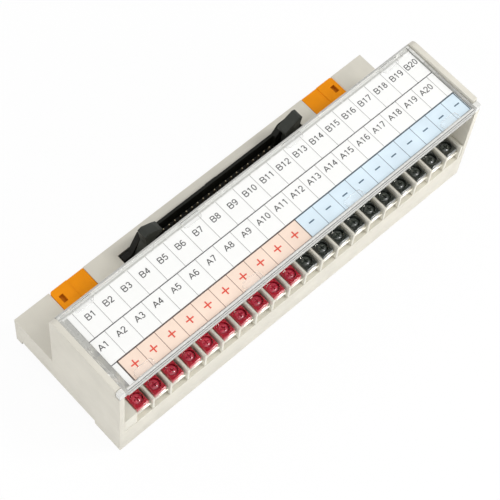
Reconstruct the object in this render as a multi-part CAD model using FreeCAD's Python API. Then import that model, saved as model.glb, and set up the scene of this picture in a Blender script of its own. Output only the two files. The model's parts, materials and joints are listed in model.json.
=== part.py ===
"""Interface terminal block: three stepped rows of screw terminals under a hinged clear cover,
wired through a circuit board to a pin header with two eject levers, on a base that clips to a rail.

X runs along the block, the terminal front is at -Y, the header deck at +Y, +Z is up.
The origin is at the middle of the underside. All sizes are in millimetres.
"""
import FreeCAD, Part
import math
import os

V = FreeCAD.Vector

# Case
housing_depth = 33.0
deck_depth = 19.3
deck_height = 15.0
end_wall = 2.0
skirt_wall = 2.0
deck_plate = 2.0
skirt_below_deck = 1.8
cover_room = 6.5
wall_corner_radius = 2.6
fit_gap = 0.1

# Rail seat under the case
rail_width = 35.0
rail_slack = 2.0
rear_foot_depth = 2.8
foot_height = 2.2
floor_plate = 2.0
hook_reach = 1.5
hook_thickness = 1.1
floor_ledge_depth = 1.5
floor_ledge_height = 1.8
board_rib = 1.6

# Terminal rows
positions = 20
tiers = 3
pitch = 7.4
row_end_room = 2.8
end_barrier_gap = 0.25
barrier_thickness = 0.9
barrier_above_plate = 3.1
lower_row_above_deck = 6.0
tier_rise = 10.0
tail_gap = 0.3
strip_front_setback = 1.6
strip_wall = 1.4

# Terminal metal and screws
plate_thickness = 1.0
plate_width = 5.6
plate_front_setback = 0.5
tail_thickness = 0.8
holder_width = 5.0
holder_depth = 6.6
holder_height = 2.1
holder_setback = 0.4
holder_bore = 4.3
power_head_diameter = 4.1
signal_head_diameter = 5.2
head_height = 1.7
head_sides = 12

# Circuit board
board_thickness = 1.6
board_below_deck = 0.8
board_edge_gap = 0.3

# Pin header
header_shift = 2.3
header_pins = 20
pin_pitch = 2.54
pin_side = 0.64
pin_below_board = 1.4
pin_above_floor = 4.4
header_width = 8.8
header_height = 8.2
header_floor = 2.7
header_wall = 1.15
header_end_room = 3.5
tower_rise = 3.6
tower_inner_run = 2.6
tower_top_run = 3.1
tower_outer_run = 4.0
end_ledge_run = 3.1
end_ledge_above_deck = 0.5
key_width = 4.6
key_depth = 0.6
key_drop = 1.2
header_slot_gap = 0.3

# Eject levers
lever_width = 3.9
lever_play = 0.15
pivot_out = 5.4
pivot_above_board = 4.8
trunnion_radius = 1.1
trunnion_length = 0.8
pivot_clearance = 0.06
# Lever outline beside its pivot, as how far out and how far up, with the radii of some corners
lever_outline = (
    (-5.0, -2.8), (-2.4, -3.2), (3.2, -3.2), (3.6, -1.8), (0.9, 6.5), (2.2, 14.4), (0.6, 15.2), (-3.7, 12.8),
    (-5.5, 11.4), (-5.5, 10.0), (-2.4, 8.6), (-2.8, -1.6), (-5.0, -1.8),
)
lever_corner_radii = {2: 0.6, 4: 2.0, 5: 0.5, 7: 1.0, 9: 0.4, 10: 1.0}

# Rail locks
lock_from_end = 21.7
lock_width = 14.2
lock_side_gap = 0.15
lock_front_from_wall = 10.2
lock_top_plate = 1.9
lock_step = 0.35
lock_back_leg = 1.8
lock_rear_setback = 0.1
lock_nose_reach = 3.7
lock_nose_thickness = 1.0
lock_nose_lift = 0.1
lock_tongue_out = 1.0
lock_tongue_thickness = 1.4
lock_tongue_gap = 0.15
lock_nose_gap = 0.5
lock_travel = 4.0
pry_slot_width = 1.7
pry_slot_depth = 3.0
pry_slot_edge = 1.5
pry_slot_drop = 1.3
lock_corner_radius = 1.0
guide_rib = 1.2

# Clear cover and paper label
cover_side_gap = 0.3
cover_drop = 1.2
cover_plate = 1.6
cover_rim_height = 0.9
cover_rim = 1.0
cover_lip_drop = 4.4
cover_back_lip_drop = 5.5
cover_back_radius = 0.9
hinge_from_wall = 1.8
hinge_below_top = 3.3
hinge_boss_radius = 1.5
hinge_boss_length = 4.0
hinge_pin_radius = 0.9
hinge_pin_reach = 1.4
hinge_clearance = 0.06
ear_depth = 2.0
ear_gap = 0.2
ear_outer_inset = 0.2
label_left_gap = 0.9
label_right_gap = 0.2
label_front_gap = 0.15
label_rear_gap = 1.45
label_thickness = 0.2
label_tab_columns = (1, 7, 13, 19)
label_tab_width = 7.4
label_tab_past_line = 1.4
label_tab_corner = 1.2
label_tab_reach = 2.9
label_tab_back_reach = 1.2
label_tab_thickness = 0.5
label_tab_gap = 0.1

# Places worked out from the sizes above
wall_inner = positions * pitch / 2 + row_end_room
half_length = wall_inner + end_wall
half_depth = (housing_depth + deck_depth) / 2
front = -half_depth
rear = half_depth
wall_rear = front + housing_depth
front_skirt_top = deck_height - skirt_below_deck
lower_row_top = deck_height + lower_row_above_deck
rear_wall_top = lower_row_top + (tiers - 1) * tier_rise
case_height = rear_wall_top + cover_room
tier_run = (housing_depth - fit_gap - skirt_wall - tail_gap) / tiers
front_row_shift = row_end_room - end_barrier_gap - barrier_thickness / 2
seat_rear = rear - rear_foot_depth
seat_front = seat_rear - rail_width - rail_slack
floor_top = foot_height + floor_plate
board_top = deck_height - deck_plate - board_below_deck
board_bottom = board_top - board_thickness
middle_row_shift = front_row_shift - pitch / 2
header_y = (wall_rear + rear) / 2
pin_span = (header_pins - 1) * pin_pitch
cavity_half = pin_span / 2 + header_end_room
header_half = cavity_half + tower_inner_run + tower_top_run + tower_outer_run + end_ledge_run
header_top = board_top + header_height
tower_top = header_top + tower_rise
lock_middle = half_length - lock_from_end
lock_front = wall_rear + lock_front_from_wall
lock_back = rear - lock_rear_setback
lock_nose = lock_back - lock_back_leg - lock_nose_reach
lever_pivot_x = cavity_half + pivot_out
lever_pivot_z = board_top + pivot_above_board
cover_top = case_height - cover_drop
cover_plate_top = cover_top - cover_rim_height
cover_plate_bottom = cover_plate_top - cover_plate
cover_half = wall_inner - cover_side_gap
cover_lip_bottom = case_height - cover_lip_drop
cover_back_bottom = case_height - cover_back_lip_drop
tray_half = cover_half - cover_rim
tray_front = front + cover_rim
tray_rear = wall_rear - cover_rim
hinge_y = wall_rear - hinge_from_wall
hinge_z = case_height - hinge_below_top
notch_rear = front + ear_depth + ear_gap
notch_bottom = cover_lip_bottom - ear_gap


def box(x0, x1, y0, y1, z0, z1):
    """Block between two corners."""
    return Part.makeBox(x1 - x0, y1 - y0, z1 - z0, V(x0, y0, z0))


def rod_x(x0, x1, y, z, radius):
    """Round bar along X."""
    return Part.makeCylinder(radius, x1 - x0, V(x0, y, z), V(1, 0, 0))


def rod_y(x, y0, y1, z, radius):
    """Round bar along Y."""
    return Part.makeCylinder(radius, y1 - y0, V(x, y0, z), V(0, 1, 0))


def face_of(points, radii):
    """Flat face inside a closed run of points. radii rounds the corners that it names."""
    edges = []
    last = len(points) - 1
    ends = []
    for index, corner in enumerate(points):
        back = (points[index - 1] - corner).normalize()
        ahead = (points[0 if index == last else index + 1] - corner).normalize()
        half_angle = back.getAngle(ahead) / 2
        radius = radii.get(index, 0)
        cut = radius / math.tan(half_angle)
        ends.append((corner + back * cut, corner + ahead * cut))
        if radius:
            inward = (back + ahead).normalize()
            middle = corner + inward * (radius / math.sin(half_angle) - radius)
            edges.append(Part.Arc(ends[-1][0], middle, ends[-1][1]).toShape())
    for index in range(len(points)):
        edges.append(Part.makeLine(ends[index - 1][1], ends[index][0]))
    return Part.Face(Part.Wire(Part.sortEdges(edges)[0]))


def prism_x(points_yz, x0, x1, radii={}):
    """Section in Y and Z, drawn out along X."""
    return face_of([V(x0, y, z) for y, z in points_yz], radii).extrude(V(x1 - x0, 0, 0))


def prism_y(points_xz, y0, y1, radii={}):
    """Section in X and Z, drawn out along Y."""
    return face_of([V(x, y0, z) for x, z in points_xz], radii).extrude(V(0, y1 - y0, 0))


def fused(shapes):
    """One solid from touching shapes, with its flat faces joined."""
    return shapes[0].multiFuse(shapes[1:]).removeSplitter()


def column_x(index, shift):
    """Middle of terminal number index, counted from 0 at the left end."""
    return shift + (index - (positions - 1) / 2) * pitch


def tier(number):
    """Sizes of one terminal row, counted from 0 at the front."""
    row_front = front + fit_gap + number * tier_run
    row_top = lower_row_top + number * tier_rise
    plate_top = row_top - barrier_above_plate
    return {
        "front": row_front,
        "back": row_front + tier_run - tail_thickness - tail_gap,
        "top": row_top,
        "plate_top": plate_top,
        "seat": plate_top - plate_thickness,
        "shift": middle_row_shift if number == 1 else front_row_shift,
    }


def end_wall_section(x0, x1):
    """End wall with its rail notch, deck step, rounded rear corner and front notch for the cover."""
    section = [
        (wall_rear, case_height), (wall_rear, deck_height), (rear, deck_height), (rear, 0), (seat_rear, 0),
        (seat_rear, foot_height), (seat_front, foot_height), (seat_front, 0), (front, 0),
        (front, notch_bottom), (notch_rear, notch_bottom), (notch_rear, case_height),
    ]
    return prism_x(section, x0, x1, {0: wall_corner_radius})


def lock_window(side, window_front):
    """Gap for one rail lock, from window_front out through the rear wall."""
    middle = side * lock_middle
    reach = lock_width / 2 + lock_side_gap
    above = deck_height + deck_plate
    return box(middle - reach, middle + reach, window_front, rear + fit_gap, -fit_gap, above)


def lock_guides(side):
    """Two ribs from the rear wall, which carry the tongues of one rail lock."""
    rib_top = deck_height - deck_plate - lock_tongue_thickness - 2 * lock_tongue_gap
    reach = lock_width / 2 + lock_side_gap
    rib_front = lock_front + skirt_wall
    ribs = []
    for turn in (-1, 1):
        near = side * lock_middle + turn * reach
        far = near + turn * (lock_tongue_out + guide_rib)
        ribs.append(box(min(near, far), max(near, far), rib_front, rear, floor_top + fit_gap, rib_top))
    return ribs


def make_base_case():
    """Grey moulding with both end walls, skirt, header deck and the wall behind the top row."""
    walls = [end_wall_section(-half_length, -wall_inner), end_wall_section(wall_inner, half_length)]
    span = (-wall_inner, wall_inner)
    walls.append(box(*span, front, front + skirt_wall, 0, front_skirt_top))
    walls.append(box(*span, rear - skirt_wall, rear, 0, deck_height))
    walls.append(box(*span, wall_rear - skirt_wall, rear, deck_height - deck_plate, deck_height))
    walls.append(box(*span, wall_rear - skirt_wall, wall_rear, deck_height, rear_wall_top))
    ledge_top = floor_top + floor_ledge_height
    for side in (-1, 1):
        ledge = sorted((side * wall_inner, side * (wall_inner - floor_ledge_depth)))
        walls.append(box(*ledge, seat_front, wall_rear, floor_top, ledge_top))
        walls += lock_guides(side)
    case = fused(walls)
    slot_half = header_half + header_slot_gap
    slot_y = header_width / 2 + key_depth + header_slot_gap
    header_slot = box(
        header_shift - slot_half, header_shift + slot_half, header_y - slot_y, header_y + slot_y, board_top,
        deck_height + deck_plate,
    )
    window_front = lock_front - fit_gap
    cuts = [header_slot, lock_window(-1, window_front), lock_window(1, window_front)]
    bore = hinge_pin_radius + hinge_clearance
    cuts.append(rod_x(-wall_inner - hinge_pin_reach, wall_inner + hinge_pin_reach, hinge_y, hinge_z, bore))
    return case.cut(cuts).removeSplitter()


def make_bottom_cover():
    """Snap-in floor with the rail seat, the fixed rail hook and two ribs under the board."""
    inner = wall_inner - fit_gap
    near = front + skirt_wall + fit_gap
    far = rear - skirt_wall - fit_gap
    hook = seat_front + hook_reach
    section = [
        (near, 0), (hook, 0), (hook, hook_thickness), (seat_front, hook_thickness), (seat_front, foot_height),
        (far, foot_height), (far, floor_top), (near, floor_top),
    ]
    floor = prism_x(section, -inner, inner)
    ribs = []
    for rib_y in (near + board_rib, wall_rear):
        rib_end = inner - floor_ledge_depth - fit_gap
        ribs.append(box(-rib_end, rib_end, rib_y, rib_y + board_rib, floor_top, board_bottom))
    window_front = lock_nose - lock_nose_gap
    return fused([floor] + ribs).cut([lock_window(-1, window_front), lock_window(1, window_front)])


def make_circuit_board():
    """Board under all rows, with corners cut away for the rail locks."""
    inner = wall_inner - board_edge_gap
    near = front + skirt_wall + board_edge_gap
    far = rear - skirt_wall - board_edge_gap
    board = box(-inner, inner, near, far, board_bottom, board_top)
    lock_inner = lock_middle - lock_width / 2 - lock_tongue_out - guide_rib - 2 * board_edge_gap
    lock_line = lock_front - 2 * board_edge_gap
    corners = []
    for x0, x1 in ((-half_length, -lock_inner), (lock_inner, half_length)):
        corners.append(box(x0, x1, lock_line, rear, 0, board_top + board_thickness))
    return board.cut(corners)


def make_strip(number):
    """Insulating strip of one row: a hollow block with a barrier beside each terminal."""
    row = tier(number)
    inner = wall_inner - fit_gap
    block_front = row["front"] + strip_front_setback
    skirt_inner = front + skirt_wall + fit_gap
    step = max(block_front, skirt_inner)
    barrier_foot = front_skirt_top if number == 0 else board_top
    pieces = [box(-inner, inner, step, row["back"], board_top, row["seat"])]
    pieces.append(box(-inner, inner, block_front, row["back"], barrier_foot, row["seat"]))
    half = barrier_thickness / 2
    first = column_x(0, row["shift"]) - pitch / 2
    for index in range(positions + 1):
        middle = first + index * pitch
        left = -inner if index == 0 else middle - half
        right = inner if index == positions else middle + half
        pieces.append(box(left, right, row["front"], row["back"], barrier_foot, row["top"]))
    strip = fused(pieces)
    hollow = box(
        strip_wall - inner, inner - strip_wall, step + strip_wall, row["back"] - strip_wall, board_top,
        row["seat"] - strip_wall,
    )
    return strip.cut(hollow)


def make_plates(number):
    """Plated terminal plates of one row, each with a soldering tail down to the board."""
    row = tier(number)
    near = row["front"] + plate_front_setback
    far = row["back"] + tail_thickness
    section = [
        (near, row["seat"]), (row["back"], row["seat"]), (row["back"], board_top), (far, board_top),
        (far, row["plate_top"]), (near, row["plate_top"]),
    ]
    plates = []
    for index in range(positions):
        middle = column_x(index, row["shift"])
        plates.append(prism_x(section, middle - plate_width / 2, middle + plate_width / 2))
    return Part.makeCompound(plates)


def faceted_rod(middle, diameter, height):
    """Upright round bar with a few flat sides, because it repeats on every terminal."""
    points = []
    for index in range(head_sides):
        angle = 2 * math.pi * (index + 0.5) / head_sides
        points.append(middle + V(math.cos(angle), math.sin(angle), 0) * (diameter / 2))
    return face_of(points, {}).extrude(V(0, 0, height))


def screw_y(row):
    """Line of the screws of one row."""
    return row["front"] + plate_front_setback + holder_setback + holder_depth / 2


def make_holders(first, last):
    """Coloured screw holders of the front row: square blocks with a round well for the head."""
    row = tier(0)
    middle_y = screw_y(row)
    top = row["plate_top"] + holder_height
    holders = []
    for index in range(first, last):
        middle = column_x(index, row["shift"])
        block = box(
            middle - holder_width / 2, middle + holder_width / 2, middle_y - holder_depth / 2,
            middle_y + holder_depth / 2, row["plate_top"], top,
        )
        well = faceted_rod(V(middle, middle_y, row["plate_top"]), holder_bore, holder_height)
        holders.append(block.cut(well))
    return Part.makeCompound(holders)


def make_screws(number, first, last, diameter):
    """Heads of the terminal screws of one row, seated on the plates."""
    row = tier(number)
    heads = []
    for index in range(first, last):
        seat = V(column_x(index, row["shift"]), screw_y(row), row["plate_top"])
        heads.append(faceted_rod(seat, diameter, head_height))
    return Part.makeCompound(heads)


def make_header_housing():
    """Box header with two towers at each end, and a slot for the eject lever between them."""
    half_width = header_width / 2
    ledge = deck_height + end_ledge_above_deck
    tower_inner = cavity_half + tower_inner_run
    tower_outer = tower_inner + tower_top_run
    end_side = [
        (header_half, board_top), (header_half, ledge), (tower_outer + tower_outer_run, ledge),
        (tower_outer, tower_top), (tower_inner, tower_top), (cavity_half, header_top),
    ]
    section = end_side + [(-x, z) for x, z in reversed(end_side)]
    body = prism_y(section, -half_width, half_width)
    key_top = header_top - key_drop
    key = box(-key_width / 2, key_width / 2, half_width, half_width + key_depth, board_top, key_top)
    inner = half_width - header_wall
    cuts = [box(-cavity_half, cavity_half, -inner, inner, board_top + header_floor, header_top)]
    slot = lever_width / 2 + lever_play
    for x0, x1 in ((-header_half, -cavity_half), (cavity_half, header_half)):
        cuts.append(box(x0, x1, -slot, slot, board_top, tower_top))
    for side in (-1, 1):
        radius = trunnion_radius + pivot_clearance
        reach = lever_width / 2 + trunnion_length + lever_play
        cuts.append(rod_y(side * lever_pivot_x, -reach, reach, lever_pivot_z, radius))
    housing = fused([body, key]).cut(cuts)
    housing.translate(V(header_shift, header_y, 0))
    return housing


def make_header_pins():
    """Two rows of square pins, through the header floor and the board."""
    half = pin_side / 2
    bottom = board_bottom - pin_below_board
    top = board_top + header_floor + pin_above_floor
    pins = []
    for index in range(header_pins):
        middle_x = header_shift + index * pin_pitch - pin_span / 2
        for row_y in (header_y - pin_pitch / 2, header_y + pin_pitch / 2):
            pins.append(box(middle_x - half, middle_x + half, row_y - half, row_y + half, bottom, top))
    return Part.makeCompound(pins)


def make_lever(side):
    """Eject lever with a hooked head, a toe that lifts the socket and two moulded trunnions."""
    half = lever_width / 2
    outline = [(side * out, up) for out, up in lever_outline]
    arm = prism_y(outline, -half, half, lever_corner_radii)
    reach = half + trunnion_length
    lever = fused([arm, rod_y(0, -reach, reach, 0, trunnion_radius)])
    lever.translate(V(header_shift + side * lever_pivot_x, header_y, lever_pivot_z))
    return lever


def make_rail_lock(side):
    """Hooked slider that grips the rear edge of the rail, with a pry slot in its top."""
    middle = side * lock_middle
    half = lock_width / 2
    under_top = deck_height - lock_top_plate
    leg = lock_back - lock_back_leg
    nose_top = lock_nose_lift + lock_nose_thickness
    section = [
        (lock_front, deck_height), (lock_back, deck_height), (lock_back, lock_nose_lift),
        (lock_nose + lock_nose_thickness, lock_nose_lift), (lock_nose, nose_top), (leg, nose_top),
        (leg, under_top), (lock_front, under_top),
    ]
    body = prism_x(section, middle - half, middle + half)
    outer_half = sorted((middle, middle + side * half))
    raised = box(*outer_half, lock_front, lock_back, under_top, deck_height + lock_step)
    tongue_top = deck_height - deck_plate - lock_tongue_gap
    tongue_bottom = tongue_top - lock_tongue_thickness
    tongue_back = rear - skirt_wall - lock_travel - lock_tongue_gap
    reach = half + lock_tongue_out
    tongue = box(middle - reach, middle + reach, lock_front, tongue_back, tongue_bottom, tongue_top)
    neck = box(middle - half, middle + half, lock_front, tongue_back, tongue_bottom, under_top)
    slot_outer = middle + side * (half - pry_slot_edge)
    slot_x = sorted((slot_outer, slot_outer - side * pry_slot_width))
    slot_front = (lock_front + lock_back - pry_slot_depth) / 2
    slot_floor = deck_height + lock_step - pry_slot_drop
    slot = box(*slot_x, slot_front, slot_front + pry_slot_depth, slot_floor, deck_height + lock_top_plate)
    lock = fused([body, raised, tongue, neck]).cut(slot)
    corner = V(middle + side * half, lock_back, 0)
    corners = []
    for edge in lock.Edges:
        aside = edge.CenterOfMass - corner
        if edge.BoundBox.ZLength > lock_top_plate and math.hypot(aside.x, aside.y) < fit_gap:
            corners.append(edge)
    return lock.makeFillet(lock_corner_radius, corners)


def label_tab(column, at_front):
    """Clear tongue with rounded corners, which holds one edge of the label down at a column line."""
    right = column_x(column, front_row_shift) - pitch / 2 + label_tab_past_line
    left = right - label_tab_width
    lower = cover_plate_top + label_thickness + label_tab_gap
    root = tray_front if at_front else tray_rear
    tip = tray_front + label_tab_reach if at_front else tray_rear - label_rear_gap - label_tab_back_reach
    corners = [V(left, root, lower), V(right, root, lower), V(right, tip, lower), V(left, tip, lower)]
    outline = face_of(corners, {2: label_tab_corner, 3: label_tab_corner})
    return outline.extrude(V(0, 0, label_tab_thickness))


def cover_section(x0, x1):
    """Cover section: front lip, flat tray and a back lip with a rounded edge."""
    section = [
        (wall_rear, cover_top), (wall_rear, cover_back_bottom), (tray_rear, cover_back_bottom),
        (tray_rear, cover_plate_bottom), (tray_front, cover_plate_bottom), (tray_front, cover_lip_bottom),
        (front, cover_lip_bottom), (front, cover_top),
    ]
    return prism_x(section, x0, x1, {0: cover_back_radius})


def make_clear_cover():
    """Clear tray for the label, with a front lip, corner ears and hinge pins at its back."""
    tray = cover_section(-cover_half, cover_half)
    well = box(-tray_half, tray_half, tray_front, tray_rear, cover_plate_top, cover_top)
    pieces = [tray.cut(well)]
    for side in (-1, 1):
        boss = sorted((side * cover_half, side * (cover_half - hinge_boss_length)))
        pieces.append(rod_x(*boss, hinge_y, hinge_z, hinge_boss_radius))
        pieces.append(
            box(*boss, hinge_y - hinge_boss_radius, hinge_y + hinge_boss_radius, hinge_z, cover_plate_top)
        )
        pin = sorted((side * cover_half, side * (wall_inner + hinge_pin_reach - cover_side_gap)))
        pieces.append(rod_x(*pin, hinge_y, hinge_z, hinge_pin_radius))
        ear = sorted((side * tray_half, side * (half_length - ear_outer_inset)))
        pieces.append(box(*ear, front, front + ear_depth, cover_lip_bottom, cover_top))
    for column in label_tab_columns:
        pieces.append(label_tab(column, True))
        pieces.append(label_tab(column, False))
    return fused(pieces)


def make_label():
    """Paper marking label, laid in the cover's tray."""
    sheet_bottom = cover_plate_top
    return box(
        label_left_gap - tray_half, tray_half - label_right_gap, tray_front + label_front_gap,
        tray_rear - label_rear_gap, sheet_bottom, sheet_bottom + label_thickness,
    )


half_row = positions // 2
nodes = {
    "base_case": make_base_case(),
    "bottom_cover": make_bottom_cover(),
    "circuit_board": make_circuit_board(),
    "lower_terminal_strip": make_strip(0),
    "middle_terminal_strip": make_strip(1),
    "upper_terminal_strip": make_strip(2),
    "lower_terminal_plates": make_plates(0),
    "middle_terminal_plates": make_plates(1),
    "upper_terminal_plates": make_plates(2),
    "red_screw_holders": make_holders(0, half_row),
    "black_screw_holders": make_holders(half_row, positions),
    "red_screws": make_screws(0, 0, half_row, power_head_diameter),
    "black_screws": make_screws(0, half_row, positions, power_head_diameter),
    "middle_screws": make_screws(1, 0, positions, signal_head_diameter),
    "upper_screws": make_screws(2, 0, positions, signal_head_diameter),
    "header_housing": make_header_housing(),
    "header_pins": make_header_pins(),
    "left_lever": make_lever(-1),
    "right_lever": make_lever(1),
    "left_rail_lock": make_rail_lock(-1),
    "right_rail_lock": make_rail_lock(1),
    "clear_cover": make_clear_cover(),
    "marking_label": make_label(),
}

os.makedirs("parts", exist_ok=True)
for name, shape in nodes.items():
    shape.exportStep("parts/" + name + ".step")
    limits = shape.BoundBox
    corner = (limits.XMin, limits.YMin, limits.ZMin)
    size = (limits.XLength, limits.YLength, limits.ZLength)
    print(name, "solids", len(shape.Solids), "valid", shape.isValid())
    print("  from", [round(value, 2) for value in corner], "size", [round(value, 2) for value in size])
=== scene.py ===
# %% [markdown]
# # An interface terminal block
#
# This lesson dresses a long terminal block for a control cabinet. Three stepped rows of screw terminals
# sit under a hinged clear cover with a printed marking label. A pin header with two eject levers stands
# on the rear deck, and two orange locks hold the block on a rail. The solids come in at their real size,
# so the work here is edges, screws, print and finishes.

# %% Load the solids
import json
import math

import bpy
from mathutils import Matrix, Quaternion, Vector


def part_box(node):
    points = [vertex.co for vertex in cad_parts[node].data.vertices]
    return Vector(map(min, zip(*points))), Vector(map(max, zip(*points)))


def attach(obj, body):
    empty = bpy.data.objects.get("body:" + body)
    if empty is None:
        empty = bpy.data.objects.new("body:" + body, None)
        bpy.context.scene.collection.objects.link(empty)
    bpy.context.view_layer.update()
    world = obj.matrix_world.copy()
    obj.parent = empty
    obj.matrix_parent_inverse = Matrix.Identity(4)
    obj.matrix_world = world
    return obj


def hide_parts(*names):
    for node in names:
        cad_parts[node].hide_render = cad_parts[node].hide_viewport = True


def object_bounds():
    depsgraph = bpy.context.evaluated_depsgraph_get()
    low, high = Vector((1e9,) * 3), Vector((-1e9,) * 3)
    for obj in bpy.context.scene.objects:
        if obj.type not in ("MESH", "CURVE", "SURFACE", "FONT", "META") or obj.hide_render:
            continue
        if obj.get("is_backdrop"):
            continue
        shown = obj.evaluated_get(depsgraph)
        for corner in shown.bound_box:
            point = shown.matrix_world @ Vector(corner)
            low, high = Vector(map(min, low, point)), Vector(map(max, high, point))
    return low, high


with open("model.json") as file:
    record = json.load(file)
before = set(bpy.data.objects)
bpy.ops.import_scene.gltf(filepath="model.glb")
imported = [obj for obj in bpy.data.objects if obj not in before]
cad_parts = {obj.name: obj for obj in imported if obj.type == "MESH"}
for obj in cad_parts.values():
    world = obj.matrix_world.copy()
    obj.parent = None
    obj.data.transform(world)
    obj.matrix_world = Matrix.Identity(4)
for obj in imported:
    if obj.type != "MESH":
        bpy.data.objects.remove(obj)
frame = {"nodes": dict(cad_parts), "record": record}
cad_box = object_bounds()
nodes = frame["nodes"]
slots = {part["node"]: part["material_slot"] for part in frame["record"]["subparts"]}
MM = 0.001
print("loaded", len(nodes), "solids, box", [[round(c, 4) for c in corner] for corner in cad_box])

# %% [markdown]
# ## Working by operators
#
# An operator acts on everything that is selected, so each step starts with nothing selected. These small
# helpers select one piece, apply its modifiers and hand it to the body that carries it.

# %% Helpers for selecting, applying and handing over
def only(piece):
    """Select one piece and nothing else."""
    if bpy.context.mode != "OBJECT":
        bpy.ops.object.mode_set(mode="OBJECT")
    bpy.ops.object.select_all(action="DESELECT")
    piece.select_set(True)
    bpy.context.view_layer.objects.active = piece


def apply_modifiers(piece):
    """Make every modifier of a piece part of its mesh."""
    only(piece)
    for modifier in list(piece.modifiers):
        bpy.ops.object.modifier_apply(modifier=modifier.name)


def settle(piece):
    """Put a piece's place into its mesh, so that its object sits at the origin."""
    only(piece)
    bpy.ops.object.transform_apply(location=True, rotation=True, scale=True)


def joined(pieces, name):
    """Join several pieces into one, with its own name."""
    only(pieces[0])
    for piece in pieces[1:]:
        piece.select_set(True)
    if len(pieces) > 1:
        bpy.ops.object.join()
    piece = bpy.context.view_layer.objects.active
    piece.name = name
    piece.data.name = name
    return piece


def hand_over(piece, body, slot, finish, *stands_for):
    """Give a piece its finish and its body, and hide the solids that it stands for."""
    piece.data.materials.clear()
    piece.data.materials.append(finish)
    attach(piece, body)
    if stands_for:
        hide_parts(*stands_for)
    return piece


print("helpers ready")

# %% [markdown]
# ## The view
#
# The block is seen from its front left corner, from high up, with the camera turned a little about its own
# line of sight. A long lens keeps the long edges nearly parallel. The camera is aimed at a point inside the
# block, then rolled.

# %% Camera
camera_place = Vector((-198.5, -167.4, 515.8)) * MM
camera_aim = Vector((-7.2, -8.3, 24.0)) * MM
camera_roll = math.radians(8.39)
camera_data = bpy.data.cameras.new("view_camera")
camera_data.lens = 121.03
camera_data.sensor_width = 36.0
camera_data.clip_start = 0.01
camera = bpy.data.objects.new("view_camera", camera_data)
bpy.context.scene.collection.objects.link(camera)
aim = (camera_aim - camera_place).to_track_quat("-Z", "Y")
camera.location = camera_place
camera.rotation_mode = "QUATERNION"
camera.rotation_quaternion = aim @ Quaternion((0, 0, 1), camera_roll)
bpy.context.scene.camera = camera
print("camera stands", round((camera_aim - camera_place).length / MM), "mm from its aim")

# %% [markdown]
# ## Light and floor
#
# A catalogue picture has a white table and soft lamps. One strong lamp would also make the table white, but
# it would wash out the paper and the grey plastic. So the world and the floor show white to the camera by
# themselves, and four soft lamps stay at a plain level. The floor still takes a little shadow.

# %% World
scene = bpy.context.scene
scene.view_settings.view_transform = "Standard"
world = bpy.data.worlds.new("studio_white")
scene.world = world
world.use_nodes = True
world_nodes = world.node_tree.nodes
world_links = world.node_tree.links
backdrop = world_nodes["Background"]
backdrop.inputs["Color"].default_value = (1, 1, 1, 1)


def seen_directly(tree):
    """Value that is 1 for rays from the camera, from gloss and through clear pieces, and 0 for light."""
    path = tree.nodes.new("ShaderNodeLightPath")
    total = path.outputs["Is Camera Ray"]
    for name in ("Is Glossy Ray", "Is Transmission Ray"):
        larger = tree.nodes.new("ShaderNodeMath")
        larger.operation = "MAXIMUM"
        tree.links.new(total, larger.inputs[0])
        tree.links.new(path.outputs[name], larger.inputs[1])
        total = larger.outputs[0]
    unscattered = tree.nodes.new("ShaderNodeMath")
    unscattered.operation = "LESS_THAN"
    unscattered.inputs[1].default_value = 0.5
    tree.links.new(path.outputs["Diffuse Depth"], unscattered.inputs[0])
    both = tree.nodes.new("ShaderNodeMath")
    both.operation = "MULTIPLY"
    tree.links.new(total, both.inputs[0])
    tree.links.new(unscattered.outputs[0], both.inputs[1])
    return both.outputs[0]


world_light = 0.56
strength = world_nodes.new("ShaderNodeMapRange")
strength.inputs["To Min"].default_value = world_light
strength.inputs["To Max"].default_value = 1.0
world_links.new(seen_directly(world.node_tree), strength.inputs["Value"])
world_links.new(strength.outputs["Result"], backdrop.inputs["Strength"])
print("world light", world_light)

# %% Floor
floor_size = 6
floor_tone = 0.94
floor_glow = 0.94
bpy.ops.object.select_all(action="DESELECT")
bpy.ops.mesh.primitive_plane_add(size=floor_size, location=(0, 0, 0))
floor = bpy.context.object
floor.name = "floor"
floor_finish = bpy.data.materials.new("pale_floor")
floor_finish.use_nodes = True
floor_tree = floor_finish.node_tree
floor_tree.nodes.clear()
floor_out = floor_tree.nodes.new("ShaderNodeOutputMaterial")
floor_paint = floor_tree.nodes.new("ShaderNodeBsdfDiffuse")
floor_paint.inputs["Color"].default_value = (floor_tone, floor_tone, floor_tone, 1)
floor_white = floor_tree.nodes.new("ShaderNodeEmission")
floor_white.inputs["Strength"].default_value = 1.0
floor_mix = floor_tree.nodes.new("ShaderNodeMixShader")
floor_share = floor_tree.nodes.new("ShaderNodeMath")
floor_share.operation = "MULTIPLY"
floor_share.inputs[1].default_value = floor_glow
floor_tree.links.new(seen_directly(floor_tree), floor_share.inputs[0])
floor_tree.links.new(floor_share.outputs[0], floor_mix.inputs["Fac"])
floor_tree.links.new(floor_paint.outputs[0], floor_mix.inputs[1])
floor_tree.links.new(floor_white.outputs[0], floor_mix.inputs[2])
floor_tree.links.new(floor_mix.outputs[0], floor_out.inputs["Surface"])
floor.data.materials.append(floor_finish)
floor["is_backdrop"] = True
print("floor of", floor_size, "m laid")

# %% Lamps
def soft_lamp(name, place, aim_at, size, power):
    """Large square lamp, aimed at a point."""
    data = bpy.data.lights.new(name, "AREA")
    data.shape = "SQUARE"
    data.size = size
    data.energy = power
    lamp = bpy.data.objects.new(name, data)
    scene.collection.objects.link(lamp)
    lamp.location = place
    lamp.rotation_mode = "QUATERNION"
    lamp.rotation_quaternion = (Vector(aim_at) - Vector(place)).to_track_quat("-Z", "Y")
    return lamp


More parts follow.
